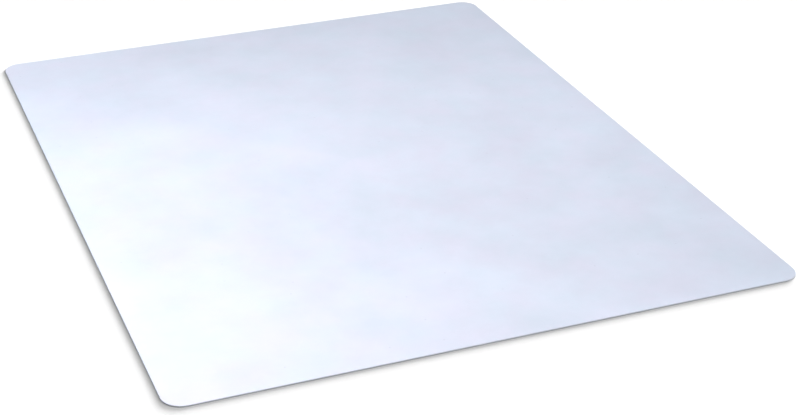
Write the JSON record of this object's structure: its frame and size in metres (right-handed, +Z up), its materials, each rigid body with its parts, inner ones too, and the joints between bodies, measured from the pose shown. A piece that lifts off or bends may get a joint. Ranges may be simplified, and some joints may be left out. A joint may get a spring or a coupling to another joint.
{
  "type": "chair mat",
  "caption": "Flat rectangular office chair mat for hard floors: thin frosted plastic sheet with rounded corners, a milled rim and an anti-slip backing.",
  "frame": {"origin": "on the floor, under the centre of the mat", "axes": "+Z up, out of the surface that the chair rolls on; +Y along the mat's length; +X across its width"},
  "size_m": [1.168, 1.524, 0.0025],
  "materials": {
    "frosted_film": "satin",
    "core_plastic": "satin",
    "grip_backing": "matte"
  },
  "bodies": {
    "root": {"wear_film": "frosted_film", "core_sheet": "core_plastic", "anti_slip_backing": "grip_backing"}
  },
  "joints": []
}
